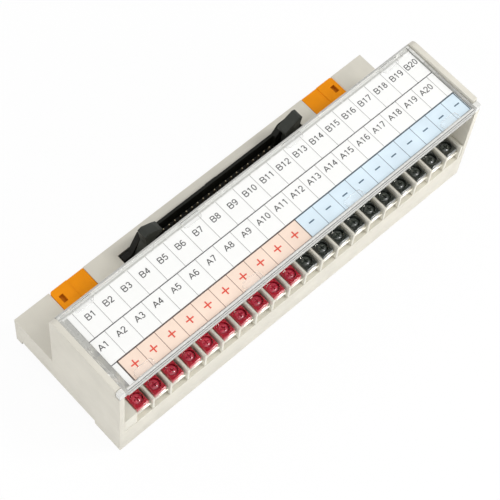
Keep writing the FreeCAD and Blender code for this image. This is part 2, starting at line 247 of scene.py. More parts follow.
lamp_aim = (0, 0, 0.02)
lamps = [
    soft_lamp("front_softbox", (0.30, -0.60, 0.25), lamp_aim, 0.4, 2.0),
    soft_lamp("left_softbox", (-0.85, -0.05, 0.45), lamp_aim, 0.4, 1.8),
    soft_lamp("right_softbox", (0.36, -0.34, 0.85), lamp_aim, 0.2, 2.2),
    soft_lamp("top_softbox", (0.10, 0.40, 0.90), lamp_aim, 0.6, 0.9),
]
print(len(lamps), "lamps of", round(sum(lamp.data.energy for lamp in lamps), 1), "W in all")

# %% [markdown]
# ## Finishes
#
# Every moulded piece has a fine grain from its mould, a slight drift of colour and an uneven gloss. One
# recipe gives all three from noise on Object coordinates, and each plastic sets its own colour, gloss and
# grain. Colours are written as they look on screen and turned into the linear values that shaders use.

# %% Recipe for a moulded finish
def linear(red, green, blue):
    """Screen colour, from 0 to 255, as linear values."""
    shares = (red / 255, green / 255, blue / 255)
    return tuple(s / 12.92 if s <= 0.04045 else ((s + 0.055) / 1.055) ** 2.4 for s in shares)


def noise(tree, grain_mm, detail):
    """Noise whose patches are about grain_mm across, on Object coordinates."""
    place = tree.nodes.new("ShaderNodeTexCoord")
    texture = tree.nodes.new("ShaderNodeTexNoise")
    texture.inputs["Scale"].default_value = 1 / (grain_mm * MM)
    texture.inputs["Detail"].default_value = detail
    tree.links.new(place.outputs["Object"], texture.inputs["Vector"])
    return texture.outputs["Fac"]


def ranged(tree, value, low, high):
    """Noise, spread from low to high."""
    node = tree.nodes.new("ShaderNodeMapRange")
    node.inputs["From Min"].default_value = 0.3
    node.inputs["From Max"].default_value = 0.7
    node.inputs["To Min"].default_value = low
    node.inputs["To Max"].default_value = high
    tree.links.new(value, node.inputs["Value"])
    return node.outputs["Result"]


drift_patch_mm = 9.0
gloss_patch_mm = 3.0
gloss_spread = 0.05
grain_strength = 0.6


def moulded(name, colour, gloss, grain_mm, depth_mm, drift=0.04, shine=0.25):
    """Plastic or paint with mould grain, colour drift and uneven gloss."""
    finish = bpy.data.materials.new(name)
    finish.use_nodes = True
    tree = finish.node_tree
    shader = tree.nodes["Principled BSDF"]
    shader.inputs["Specular IOR Level"].default_value = shine
    base = linear(*colour)
    blend = tree.nodes.new("ShaderNodeMix")
    blend.data_type = "RGBA"
    blend.inputs["A"].default_value = (*[c * (1 - drift) for c in base], 1)
    blend.inputs["B"].default_value = (*[min(1, c * (1 + drift)) for c in base], 1)
    tree.links.new(ranged(tree, noise(tree, drift_patch_mm, 3), 0, 1), blend.inputs["Factor"])
    tree.links.new(blend.outputs["Result"], shader.inputs["Base Color"])
    rough = 1 - gloss
    patches = noise(tree, gloss_patch_mm, 2)
    uneven = ranged(tree, patches, rough - gloss_spread, rough + gloss_spread)
    tree.links.new(uneven, shader.inputs["Roughness"])
    bump = tree.nodes.new("ShaderNodeBump")
    bump.inputs["Strength"].default_value = grain_strength
    bump.inputs["Distance"].default_value = depth_mm * MM
    tree.links.new(noise(tree, grain_mm, 2), bump.inputs["Height"])
    tree.links.new(bump.outputs["Normal"], shader.inputs["Normal"])
    return finish


finishes = {
    "case_grey": moulded("case_grey", (218, 214, 202), 0.48, 0.30, 0.010),
    "floor_grey": moulded("floor_grey", (204, 200, 188), 0.42, 0.35, 0.012),
    "strip_grey": moulded("strip_grey", (225, 222, 210), 0.50, 0.30, 0.008),
    "lock_orange": moulded("lock_orange", (246, 150, 8), 0.50, 0.25, 0.008, 0.06, 0.12),
    "red_plastic": moulded("red_plastic", (190, 34, 54), 0.86, 0.40, 0.012, 0.10, 1.0),
    "black_plastic": moulded("black_plastic", (44, 49, 44), 0.84, 0.40, 0.012, 0.12, 1.0),
    "header_black": moulded("header_black", (22, 22, 18), 0.50, 0.25, 0.008, 0.12, 0.15),
    "lever_black": moulded("lever_black", (52, 54, 50), 0.52, 0.30, 0.010, 0.10, 0.2),
    "board_green": moulded("board_green", (34, 96, 52), 0.66, 0.60, 0.006, 0.10),
    "label_white": moulded("label_white", (249, 249, 247), 0.30, 0.15, 0.003, 0.01, 0.1),
}
print(len(finishes), "moulded finishes")

# %% [markdown]
# Plated metal shows fine lines from rolling and brushing. An anisotropic shader can give that look, but it
# needs a direction on every face. Noise that is stretched along one axis needs none: it varies the gloss and
# adds a very shallow bump.

# %% Metal finishes
line_spread = 0.08
line_strength = 0.3
line_depth = 0.004 * MM


def plated(name, colour, rough, grain_mm, stretch):
    """Bright metal with fine brushed lines along one axis."""
    finish = bpy.data.materials.new(name)
    finish.use_nodes = True
    tree = finish.node_tree
    shader = tree.nodes["Principled BSDF"]
    shader.inputs["Metallic"].default_value = 1.0
    shader.inputs["Base Color"].default_value = (*linear(*colour), 1)
    place = tree.nodes.new("ShaderNodeTexCoord")
    mapping = tree.nodes.new("ShaderNodeMapping")
    mapping.inputs["Scale"].default_value = stretch
    lines = tree.nodes.new("ShaderNodeTexNoise")
    lines.inputs["Scale"].default_value = 1 / (grain_mm * MM)
    tree.links.new(place.outputs["Object"], mapping.inputs["Vector"])
    tree.links.new(mapping.outputs["Vector"], lines.inputs["Vector"])
    uneven = ranged(tree, lines.outputs["Fac"], rough - line_spread, rough + line_spread)
    tree.links.new(uneven, shader.inputs["Roughness"])
    bump = tree.nodes.new("ShaderNodeBump")
    bump.inputs["Strength"].default_value = line_strength
    bump.inputs["Distance"].default_value = line_depth
    tree.links.new(lines.outputs["Fac"], bump.inputs["Height"])
    tree.links.new(bump.outputs["Normal"], shader.inputs["Normal"])
    return finish


finishes["plated_metal"] = plated("plated_metal", (226, 222, 210), 0.30, 0.3, (0.1, 1, 1))
finishes["steel_screw"] = plated("steel_screw", (205, 205, 200), 0.28, 0.3, (0.2, 1, 1))
finishes["pin_gold"] = plated("pin_gold", (158, 146, 124), 0.42, 0.2, (1, 1, 0.1))
print("three metals")

# %% [markdown]
# The cover is clear plastic, a little rubbed by hands. Full glass would vanish against a white table and
# darken the paper under it, so only part of the light passes straight through and it is bent very little. The
# thick rims get a pale tint of painted light, the sharp edges dark and grey tints of painted shade, and the
# thin tongues a tint of their own. The screws and their holders are glossy, so they get a thin clear coat
# over the colour.

# %% Clear finishes
rub_patch_mm = 4.0


def clear_plastic(name, tint, clearness, bending, rough):
    """Clear moulding: its tint, how much light it lets through, how far it bends it, and how rubbed it is."""
    finish = bpy.data.materials.new(name)
    finish.use_nodes = True
    tree = finish.node_tree
    shader = tree.nodes["Principled BSDF"]
    shader.inputs["Base Color"].default_value = (*tint, 1)
    shader.inputs["Transmission Weight"].default_value = clearness
    shader.inputs["IOR"].default_value = bending
    rubbed = ranged(tree, noise(tree, rub_patch_mm, 2), 0.6 * rough, 1.4 * rough)
    tree.links.new(rubbed, shader.inputs["Roughness"])
    return finish


finishes["cover_clear"] = clear_plastic("cover_clear", (0.95, 0.95, 0.93), 0.66, 1.20, 0.08)
# painted light: a pale tint for the light that gathers in the thick rims and the ears
painted_light_clear = clear_plastic("painted_light_clear", (0.86, 0.86, 0.83), 0.20, 1.30, 0.25)
thin_clear = clear_plastic("thin_clear", (1.0, 1.0, 1.0), 0.0, 1.30, 0.05)
thin_clear.node_tree.nodes["Principled BSDF"].inputs["Alpha"].default_value = 0.08
# painted shade: a dark tint for the lines along the edges of the front lip
painted_dark_line_clear = clear_plastic("painted_dark_line_clear", (0.16, 0.16, 0.15), 0.30, 1.30, 0.15)
# painted shade: a grey tint for the grey lines and the shaded rims
painted_grey_shade_clear = clear_plastic("painted_grey_shade_clear", (0.62, 0.62, 0.59), 0.20, 1.30, 0.25)
print("five clear finishes")

# %% Coated finishes
coat_weight = 0.8
coat_roughness = 0.10
for slot_name, colour in (("red_screw", (216, 66, 90)), ("black_screw", (72, 78, 72))):
    finishes[slot_name] = moulded(slot_name, colour, 0.80, 0.25, 0.004, 0.10, 0.6)
for slot_name in ("red_screw", "black_screw", "red_plastic", "black_plastic"):
    coat = finishes[slot_name].node_tree.nodes["Principled BSDF"]
    coat.inputs["Coat Weight"].default_value = coat_weight
    coat.inputs["Coat Roughness"].default_value = coat_roughness
for node_name, node in nodes.items():
    node.data.materials.clear()
    node.data.materials.append(finishes[slots[node_name]])
print("every solid has its finish")

# %% [markdown]
# ## Soft edges
#
# No moulded or stamped piece has a perfectly sharp edge: the small radius catches a line of light, and that
# line is what makes plastic look real. A copy of a solid is merged, its triangles are dissolved back into
# flat faces, and a Bevel modifier rounds every edge that turns by more than a set angle. The copy keeps the
# form and the place of the solid that it stands for.

# %% Rounded copies of the solids
merge_distance = 0.002 * MM
flat_angle = math.radians(0.5)
edge_angle = math.radians(35)
smooth_angle = math.radians(30)


def softened(node_name, radius_mm, segments=2):
    """Copy of a solid with its edges rounded."""
    source = nodes[node_name]
    piece = source.copy()
    piece.data = source.data.copy()
    piece.name = node_name + "_soft"
    # The copy is a piece of its own, so it drops the tags that mark a solid
    for key in list(piece.keys()):
        del piece[key]
    piece.parent = None
    scene.collection.objects.link(piece)
    only(piece)
    bpy.ops.object.mode_set(mode="EDIT")
    bpy.ops.mesh.select_all(action="SELECT")
    bpy.ops.mesh.remove_doubles(threshold=merge_distance)
    bpy.ops.mesh.dissolve_limited(angle_limit=flat_angle)
    bpy.ops.object.mode_set(mode="OBJECT")
    bevel = piece.modifiers.new("edge", "BEVEL")
    bevel.width = radius_mm * MM
    bevel.segments = segments
    bevel.limit_method = "ANGLE"
    bevel.angle_limit = edge_angle
    bevel.use_clamp_overlap = True
    apply_modifiers(piece)
    bpy.ops.object.shade_smooth_by_angle(angle=smooth_angle)
    return piece


edge_radii = {
    "base_case": 0.30, "bottom_cover": 0.20, "lower_terminal_strip": 0.15, "middle_terminal_strip": 0.20,
    "upper_terminal_strip": 0.20, "lower_terminal_plates": 0.15, "middle_terminal_plates": 0.15,
    "upper_terminal_plates": 0.15, "header_housing": 0.20, "left_lever": 0.30, "right_lever": 0.30,
    "left_rail_lock": 0.25, "right_rail_lock": 0.25, "clear_cover": 0.12, "circuit_board": 0.10,
}
members_of = frame["record"]["behaviour"]["bodies"]
body_of_node = {node: body for body, members in members_of.items() for node in members}
for node_name, radius in edge_radii.items():
    rounded = softened(node_name, radius)
    hand_over(rounded, body_of_node[node_name], slots[node_name], finishes[slots[node_name]], node_name)
    print(node_name, "edges of", radius, "mm,", len(rounded.data.polygons), "faces")

# %% [markdown]
# A clear moulding isn't equally clear all over, so one finish for the whole cover looks flat. Light gathers
# in its thick rims and its ears, so they get a pale tint of painted light. The thin tongues that hold the
# paper can hardly be seen. An edge bends light away from the eye and shows as a line, and these lines are
# painted
# shade: dark along the outer edge of the front lip and across its face, grey along its inner edge and on the
# rear rim. The rims beside the paper get grey painted shade, and on the right side pale painted light towards
# the back. The cover is cut along these lines with bisect, which splits faces and changes no shape. The lip
# is then drawn down a little, and each face gets its finish by its place and its normal.

# %% Cut the cover along the paper and the lines of its rims
paper_low, paper_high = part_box("marking_label")
paper_left = -73.75 * MM
cover_low, cover_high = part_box("clear_cover")
cover = bpy.data.objects["clear_cover_soft"]
lip_outer_line = cover_low.y + 0.12 * MM
lip_inner_line = (cover_low.y + 0.75 * MM, cover_low.y + 1.00 * MM)
lip_top_line = cover_high.z - 0.50 * MM
lip_face_line = (cover_high.z - 2.50 * MM, cover_high.z - 1.85 * MM)
rear_line = (paper_high.y + 0.30 * MM, paper_high.y + 0.80 * MM)
side_fade = (-7.5 * MM, -2.0 * MM)
lip_end = 75.3 * MM
lip_shoulder = 75.2 * MM
ear_root = 76.5 * MM
cut_rows = (paper_low.y, paper_high.y, lip_outer_line, *lip_inner_line, *rear_line, *side_fade)
cuts = [((0, y, 0), (0, 1, 0)) for y in cut_rows]
cuts += [((0, 0, z), (0, 0, 1)) for z in (lip_top_line, *lip_face_line)]
cut_columns = (-lip_end, -lip_shoulder, lip_shoulder, lip_end, -ear_root, paper_left, ear_root)
cuts += [((x, 0, 0), (1, 0, 0)) for x in cut_columns]
only(cover)
bpy.ops.object.mode_set(mode="EDIT")
for place, direction in cuts:
    bpy.ops.mesh.select_all(action="SELECT")
    bpy.ops.mesh.bisect(plane_co=place, plane_no=direction)
bpy.ops.object.mode_set(mode="OBJECT")
print("cover cut into", len(cover.data.polygons), "faces")

# %% Draw the lip down
lip_bottom = cover_high.z - 3.2 * MM
lip_draw = 1.2 * MM
lip_margin = 0.2 * MM
draw_end = (lip_end + lip_shoulder) / 2
only(cover)
bpy.ops.object.mode_set(mode="EDIT")
bpy.ops.mesh.select_mode(type="VERT")
bpy.ops.mesh.select_all(action="DESELECT")
bpy.ops.object.mode_set(mode="OBJECT")
drawn = 0
for vertex in cover.data.vertices:
    low_on_lip = vertex.co.y < paper_low.y and vertex.co.z < lip_bottom + lip_margin
    vertex.select = low_on_lip and abs(vertex.co.x) < draw_end
    drawn += vertex.select
bpy.ops.object.mode_set(mode="EDIT")
bpy.ops.transform.translate(value=(0, 0, -lip_draw))
bpy.ops.object.mode_set(mode="OBJECT")
print("lip drawn down by", round(lip_draw / MM, 2), "mm at", drawn, "points")

# %% Painted light on the rims, clear tongues and painted shade lines on the cover
# pale faces are painted light; dark and grey faces are painted shade
CLEAR, PAINTED_LIGHT, THIN, PAINTED_DARK_LINE, PAINTED_GREY_SHADE = range(5)
slightly, partly, mostly = 0.1, 0.3, 0.5
tray_margin = 1.4 * MM
tongue_floor = paper_high.z + 0.05 * MM
tongue_ceiling = paper_high.z + 0.65 * MM
tongue_reach = 72.0 * MM
hinge_front = paper_high.y - 0.3 * MM
tray_floor = paper_low.z - 0.1 * MM
rear_crown = cover_high.y - 0.9 * MM
ear_back = paper_low.y + 1.0 * MM


def cover_finish(place, normal):
    """Finish of one face of the cover, by its place and the way that it faces: clear, painted light or
    painted shade.
    """
    across = abs(place.x)
    over_paper = across < tongue_reach and paper_low.y < place.y < paper_high.y + tray_margin
    if over_paper and tongue_floor < place.z < tongue_ceiling:
        return THIN if abs(normal.z) > mostly else CLEAR
    on_lip = place.y < paper_low.y and across < lip_end
    if on_lip and normal.z > partly:
        if place.y < lip_outer_line:
            return PAINTED_DARK_LINE
        return PAINTED_GREY_SHADE if lip_inner_line[0] < place.y < lip_inner_line[1] else PAINTED_LIGHT
    if on_lip and normal.y < -mostly:
        on_line = place.z > lip_top_line or lip_face_line[0] < place.z < lip_face_line[1]
        return PAINTED_DARK_LINE if on_line else PAINTED_GREY_SHADE
    on_ear = place.y < ear_back and across > ear_root
    if on_ear and (normal.z > partly or normal.y < -mostly or abs(normal.x) > mostly):
        return PAINTED_LIGHT
    # the side rims get painted shade, and painted light towards the back on the right
    on_side = (place.x < paper_left or place.x > paper_high.x) and side_fade[0] < place.y < hinge_front
    if on_side and normal.z > mostly and place.z > tray_floor:
        return PAINTED_LIGHT if place.x > 0 and place.y > side_fade[1] else PAINTED_GREY_SHADE
    behind_paper = place.y > hinge_front and place.z > tray_floor
    on_line = place.y > rear_crown or rear_line[0] < place.y < rear_line[1]
    if behind_paper and on_line and normal.z > slightly:
        return PAINTED_GREY_SHADE
    return PAINTED_LIGHT if behind_paper and (normal.z > mostly or normal.y < -mostly) else CLEAR


for finish in (painted_light_clear, thin_clear, painted_dark_line_clear, painted_grey_shade_clear):
    cover.data.materials.append(finish)
counts = [0] * len(cover.data.materials)
for face in cover.data.polygons:
    face.material_index = cover_finish(face.center, face.normal)
    counts[face.material_index] += 1
print("faces that are clear, pale, thin, dark and grey:", counts)

# %% [markdown]
# The slot that takes a screwdriver is deep and narrow, and little light gets in. No new piece is needed for
# that: the faces inside the slot are found by their place and get a darker orange, painted shade for the
# slot.

# %% Painted shade in the slots of the rail locks
# painted shade: a darker orange on the faces inside each slot stands for the shade in it
painted_slot_shade = moulded("painted_slot_shade", (200, 116, 10), 0.35, 0.25, 0.008, 0.10, 0.1)
slot_depths = (1.0 * MM, 1.6 * MM)
slot_lip = 0.3 * MM
for node_name in ("left_rail_lock", "right_rail_lock"):
    lock = bpy.data.objects[node_name + "_soft"]
    lock.data.materials.append(painted_slot_shade)
    lock_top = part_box(node_name)[1].z
    floors = [
        face for face in lock.data.polygons
        if face.normal.z > 0.9 and slot_depths[0] < lock_top - face.center.z < slot_depths[1]
    ]
    corners = [lock.data.vertices[index].co for face in floors for index in face.vertices]
    low = Vector([min(corner[axis] for corner in corners) - slot_lip for axis in range(3)])
    high = Vector([max(corner[axis] for corner in corners) + slot_lip for axis in range(3)])
    slot_faces = [
        face for face in lock.data.polygons
        if low.x < face.center.x < high.x and low.y < face.center.y < high.y
        and low.z < face.center.z < lock_top - slot_lip
    ]
    # these faces get the painted slot shade
    for face in slot_faces:
        face.material_index = 1
    print(node_name, len(floors), "floor faces,", len(slot_faces), "slot faces")

# %% [markdown]
# ## Screws and their coloured holders
#
# Each front terminal has a square coloured holder with a round well, and a screw head with a cross recess
# down in the well. The head is a cylinder with a domed top. The recess could be made with insets, but a
# Boolean with a cross of two tapered bars is closer to the real one, because a driver's tip is tapered too. A
# small bevel then wears the edges, and one head is copied along each row.

# %% Cutter for a driver recess
recess_taper = 0.55


def cross_cutter(reach, width, depth, top):
    """Cross of two bars that narrow downwards, to cut a driver recess."""
    bars = []
    for turn in (0, 1):
        bpy.ops.object.select_all(action="DESELECT")
        bpy.ops.mesh.primitive_cube_add(size=1, location=(0, 0, top))
        bar = bpy.context.object
        long_way = (2 * reach, width) if turn == 0 else (width, 2 * reach)
        bar.scale = (*long_way, 2 * depth)
        settle(bar)
        bpy.ops.object.mode_set(mode="EDIT")
        bpy.ops.mesh.select_all(action="DESELECT")
        bpy.ops.object.mode_set(mode="OBJECT")
        for face in bar.data.polygons:
            face.select = face.normal.z < -0.9
        bpy.ops.object.mode_set(mode="EDIT")
        bpy.ops.transform.resize(value=(recess_taper, recess_taper, 1))
        bpy.ops.object.mode_set(mode="OBJECT")
        bars.append(bar)
    union = bars[0].modifiers.new("join", "BOOLEAN")
    union.operation = "UNION"
    union.object = bars[1]
    apply_modifiers(bars[0])
    bpy.data.objects.remove(bars[1])
    return bars[0]


print("the recess narrows to", recess_taper, "of its width")

# %% One screw head
round_steps = 32
dome_angle = math.radians(38)
recess_reach = 0.34
recess_width = 0.17
recess_depth = 0.55
worn_edge = 0.10 * MM
worn_angle = math.radians(40)


def screw_head(diameter, height):
    """Oval head at the origin: a cylinder cut by a large sphere, with a cross recess."""
    bpy.ops.object.select_all(action="DESELECT")
    bpy.ops.mesh.primitive_cylinder_add(
        vertices=round_steps, radius=diameter / 2, depth=height, location=(0, 0, height / 2)
    )
    head = bpy.context.object
    settle(head)
    ball_radius = diameter / 2 / math.sin(dome_angle)
    bpy.ops.object.select_all(action="DESELECT")
    bpy.ops.mesh.primitive_uv_sphere_add(
        segments=round_steps, ring_count=2 * round_steps, radius=ball_radius,
        location=(0, 0, height - ball_radius),
    )
    ball = bpy.context.object
    settle(ball)
    cutter = cross_cutter(recess_reach * diameter, recess_width * diameter, recess_depth * height, height)
    for name, operation, tool in (("dome", "INTERSECT", ball), ("recess", "DIFFERENCE", cutter)):
        step = head.modifiers.new(name, "BOOLEAN")
        step.operation = operation
        step.object = tool
    worn = head.modifiers.new("worn", "BEVEL")
    worn.width = worn_edge
    worn.segments = 2
    worn.limit_method = "ANGLE"
    worn.angle_limit = worn_angle
    apply_modifiers(head)
    for tool in (ball, cutter):
        bpy.data.objects.remove(tool)
    only(head)
    bpy.ops.object.shade_smooth_by_angle(angle=smooth_angle)
    return head


print("a head has", round_steps, "sides and a dome of", round(math.degrees(dome_angle)), "degrees")

# %% [markdown]
# A node holds all the screws of a row in one mesh of loose triangles. The copies have to sit exactly where
# those solids are. Their places could be typed in, but the mesh knows them: points at one place are the same
# point, and points joined by an edge belong to the same solid.

# %% Where the separate solids of a node are
def loose_boxes(node_name):
    """Box of each separate solid of a node, from left to right."""
    first_at = {}
    mesh = nodes[node_name].data
    joined_to = list(range(len(mesh.vertices)))
    for vertex in mesh.vertices:
        key = tuple(round(c / MM, 3) for c in vertex.co)
        joined_to[vertex.index] = first_at.setdefault(key, vertex.index)
    root = list(range(len(mesh.vertices)))

    def top(index):
        while root[index] != index:
            root[index] = root[root[index]]
            index = root[index]
        return index

    for edge in mesh.edges:
        root[top(joined_to[edge.vertices[0]])] = top(joined_to[edge.vertices[1]])
    groups = {}
    for vertex in mesh.vertices:
        groups.setdefault(top(joined_to[vertex.index]), []).append(vertex.co)
    boxes = []
    for points in groups.values():
        low = Vector([min(p[axis] for p in points) for axis in range(3)])
        high = Vector([max(p[axis] for p in points) for axis in range(3)])
        boxes.append((low, high))
    return sorted(boxes, key=lambda pair: (pair[0].x, pair[0].y))


def seats_of(boxes):
    """Middle of the underside of each box."""
    return [Vector(((low.x + high.x) / 2, (low.y + high.y) / 2, low.z)) for low, high in boxes]


print(len(loose_boxes("red_screws")), "solids in red_screws")

# %% Rows of screws
def row_of(pattern, places, name):
    """Copies of a pattern at several places, joined into one piece."""
    copies = []
    for place in places:
        copy = pattern.copy()
        copy.data = pattern.data.copy()
        scene.collection.objects.link(copy)
        copy.location = place
        settle(copy)
        copies.append(copy)
    bpy.data.objects.remove(pattern)
    return joined(copies, name)


for node_name in ("red_screws", "black_screws", "middle_screws", "upper_screws"):
    boxes = loose_boxes(node_name)
    low, high = boxes[0]
    head = screw_head(high.x - low.x, high.z - low.z)
    seats = seats_of(boxes)
    screws = row_of(head, seats, node_name + "_heads")
    hand_over(screws, "case", slots[node_name], finishes[slots[node_name]], node_name)
    print(node_name, len(seats), "heads of", round((high.x - low.x) / MM, 2), "mm")

# %% [markdown]
# A holder starts as a cube. Its outer edges are rounded first, while they are still simple. A Boolean then
# drills the well, and a second bevel rounds the brim, where the plastic catches the light.

# %% Holders with a round well
well_diameter = 4.3 * MM
holder_edge = 0.35 * MM
brim_edge = 0.40 * MM
brim_angle = math.radians(60)


def holder(width, depth, height, bore):
    """Square holder at the origin with rounded edges and a round well."""
    bpy.ops.object.select_all(action="DESELECT")
    bpy.ops.mesh.primitive_cube_add(size=1, location=(0, 0, height / 2))
    block = bpy.context.object
    block.scale = (width, depth, height)
    settle(block)
    bpy.ops.object.select_all(action="DESELECT")
    bpy.ops.mesh.primitive_cylinder_add(vertices=round_steps, radius=bore / 2, depth=3 * height)
    drill = bpy.context.object
    edge = block.modifiers.new("edge", "BEVEL")
    edge.width = holder_edge
    edge.segments = 3
    well = block.modifiers.new("well", "BOOLEAN")
    well.operation = "DIFFERENCE"
    well.object = drill
    brim = block.modifiers.new("brim", "BEVEL")
    brim.width = brim_edge
    brim.segments = 3
    brim.limit_method = "ANGLE"
    brim.angle_limit = brim_angle
    apply_modifiers(block)
    bpy.data.objects.remove(drill)
    only(block)
    bpy.ops.object.shade_smooth_by_angle(angle=smooth_angle)
    return block


for node_name in ("red_screw_holders", "black_screw_holders"):
    boxes = loose_boxes(node_name)
    low, high = boxes[0]
    block = holder(*(high - low), well_diameter)
    seats = seats_of(boxes)
    holders = row_of(block, seats, node_name + "_row")
    hand_over(holders, "case", slots[node_name], finishes[slots[node_name]], node_name)
    print(node_name, len(seats), "holders")

# %% [markdown]
# ## Header pins
#
# The pins are square wire with a tapered tip, so that a socket finds its way on. A separate tip would leave a
# seam, so each pin is a stretched cube whose top face is extruded and drawn in.

# %% Pins with tapered tips
pin_boxes = loose_boxes("header_pins")
low, high = pin_boxes[0]
pin_size = high - low
tip_height = 0.5 * MM
tip_share = 0.5
shaft_height = pin_size.z - tip_height
bpy.ops.object.select_all(action="DESELECT")
bpy.ops.mesh.primitive_cube_add(size=1, location=(0, 0, shaft_height / 2))
pin = bpy.context.object
pin.scale = (pin_size.x, pin_size.y, shaft_height)
settle(pin)
bpy.ops.object.mode_set(mode="EDIT")
bpy.ops.mesh.select_mode(type="FACE")
bpy.ops.mesh.select_all(action="DESELECT")
bpy.ops.object.mode_set(mode="OBJECT")
for face in pin.data.polygons:
    face.select = face.normal.z > 0.9
bpy.ops.object.mode_set(mode="EDIT")
bpy.ops.mesh.extrude_region_move(TRANSFORM_OT_translate={"value": (0, 0, tip_height)})
bpy.ops.transform.resize(value=(tip_share, tip_share, 1))
bpy.ops.object.mode_set(mode="OBJECT")
pin_seats = seats_of(pin_boxes)
pins = row_of(pin, pin_seats, "header_pins_tapered")
hand_over(pins, "case", slots["header_pins"], finishes[slots["header_pins"]], "header_pins")
print(len(pin_seats), "pins")

# %% [markdown]
# ## The printed label
#
# The label has three rows: B at the back, A in the middle and the supply row in front, with ten plus and ten
# minus cells. The middle row stands half a pitch to the left. The paper is cut a little short of the tray at
# its left end. A picture of the print would blur close up, so tinted fields, ruled lines and letters are thin
# layers of ink on the paper, each a little above the last.

# %% Trim the paper
paper_edge_mm = 0.03
paper = softened("marking_label", paper_edge_mm, 1)
only(paper)
bpy.ops.object.mode_set(mode="EDIT")
bpy.ops.mesh.select_all(action="SELECT")
bpy.ops.mesh.bisect(plane_co=(paper_left, 0, 0), plane_no=(1, 0, 0), use_fill=True, clear_inner=True)
bpy.ops.object.mode_set(mode="OBJECT")
bpy.ops.object.shade_flat()
hand_over(paper, "cover", slots["marking_label"], finishes["label_white"], "marking_label")
print("paper trimmed to", round((paper_high.x - paper_left) / MM, 2), "mm")

# %% Ink layers
pitch = 7.4 * MM
columns = 20
ink_step = 0.015 * MM
ink_share = 0.8
print_shift = 0.3 * MM
front_start = seats_of(loose_boxes("red_screw_holders"))[0].x - pitch / 2 + print_shift
middle_start = seats_of(loose_boxes("middle_screws"))[0].x - pitch / 2 + print_shift
row_back_line = -6.4 * MM
row_front_line = -16.6 * MM
grid_front_line = -24.75 * MM
grid_edge_line = -24.88 * MM


def inked(name, colour):
    """Printing ink: matte colour with a little unevenness."""
    return moulded(name, colour, 0.35, 0.12, 0.002, 0.05, 0.1)


def bars_of_ink(name, bars, layer, ink):
    """Flat bars, given as left, right, front and back, as one thin layer of ink."""
    planes = []
    for left, right, near, far in bars:
        bpy.ops.object.select_all(action="DESELECT")
        level = paper_high.z + layer * ink_step
        bpy.ops.mesh.primitive_plane_add(size=1, location=((left + right) / 2, (near + far) / 2, level))
        plane = bpy.context.object
        plane.scale = (right - left, far - near, 1)
        settle(plane)
        planes.append(plane)
    layer_piece = joined(planes, name)
    body = layer_piece.modifiers.new("ink", "SOLIDIFY")
    body.thickness = ink_share * ink_step
    body.offset = 1
    apply_modifiers(layer_piece)
    hand_over(layer_piece, "cover", "label_white", ink)
    print(name, len(bars), "bars")
    return layer_piece


plus_end = front_start + columns / 2 * pitch
plus_field = (front_start, plus_end, grid_front_line, row_front_line)
bars_of_ink("plus_field", [plus_field], 0, inked("pale_red_ink", (248, 225, 208)))
minus_field = (plus_end, paper_high.x, grid_front_line, row_front_line)
bars_of_ink("minus_field", [minus_field], 0, inked("pale_blue_ink", (221, 237, 247)))

# %% [markdown]
# The rules between the cells are bars of ink. They are light grey in the two signal rows and take the tint of
# the field in the supply row, and the lines between rows are heavier and darker.

# %% Ruled lines
thin = 0.20 * MM
medium = 0.32 * MM
bold = 0.48 * MM


def upright(x, near, far, width):
    """Line across one row at x, kept on the paper."""
    return (max(paper_left, x - width / 2), min(paper_high.x, x + width / 2), near, far)


def level_line(y, left, right, width):
    """Line along the label at y."""
    return (left, right, y - width / 2, y + width / 2)


back_lines = [front_start + index * pitch for index in range(columns + 1)]
middle_lines = [middle_start + index * pitch for index in range(columns + 1)]
signal_lines = [upright(x, row_back_line, paper_high.y, thin) for x in back_lines if x < paper_high.x - thin]
signal_lines += [upright(x, row_front_line, row_back_line, thin) for x in middle_lines[1:]]
bars_of_ink("signal_rules", signal_lines, 1, inked("light_grey_ink", (180, 180, 178)))
red_lines = [upright(x, grid_front_line, row_front_line, thin) for x in back_lines[1:columns // 2]]
red_lines.append(level_line(grid_edge_line, front_start, plus_end, thin))
bars_of_ink("plus_rules", red_lines, 1, inked("brown_ink", (146, 116, 106)))
blue_lines = [upright(x, grid_front_line, row_front_line, thin) for x in back_lines[columns // 2 + 1:columns]]
blue_lines.append(level_line(grid_edge_line, plus_end, paper_high.x, thin))
bars_of_ink("minus_rules", blue_lines, 1, inked("slate_ink", (122, 136, 148)))
dark_lines = [level_line(row_back_line, paper_left, paper_high.x, medium)]
dark_lines.append(level_line(row_front_line, paper_left, front_start, medium))
bars_of_ink("row_rules", dark_lines, 2, inked("dark_grey_ink", (94, 94, 94)))
dark_brown_lines = [level_line(row_front_line, front_start, plus_end, bold)]
dark_brown_lines.append(upright(front_start, grid_front_line, row_front_line, bold))
dark_brown_lines.append(upright(plus_end, grid_front_line, row_front_line, medium))
bars_of_ink("plus_row_rules", dark_brown_lines, 2, inked("dark_brown_ink", (100, 88, 84)))
dark_blue_lines = [level_line(row_front_line, plus_end, paper_high.x, bold)]
dark_blue_lines.append(upright(paper_high.x - medium, grid_front_line, row_front_line, medium))
bars_of_ink("minus_row_rules", dark_blue_lines, 2, inked("dark_slate_ink", (88, 100, 108)))

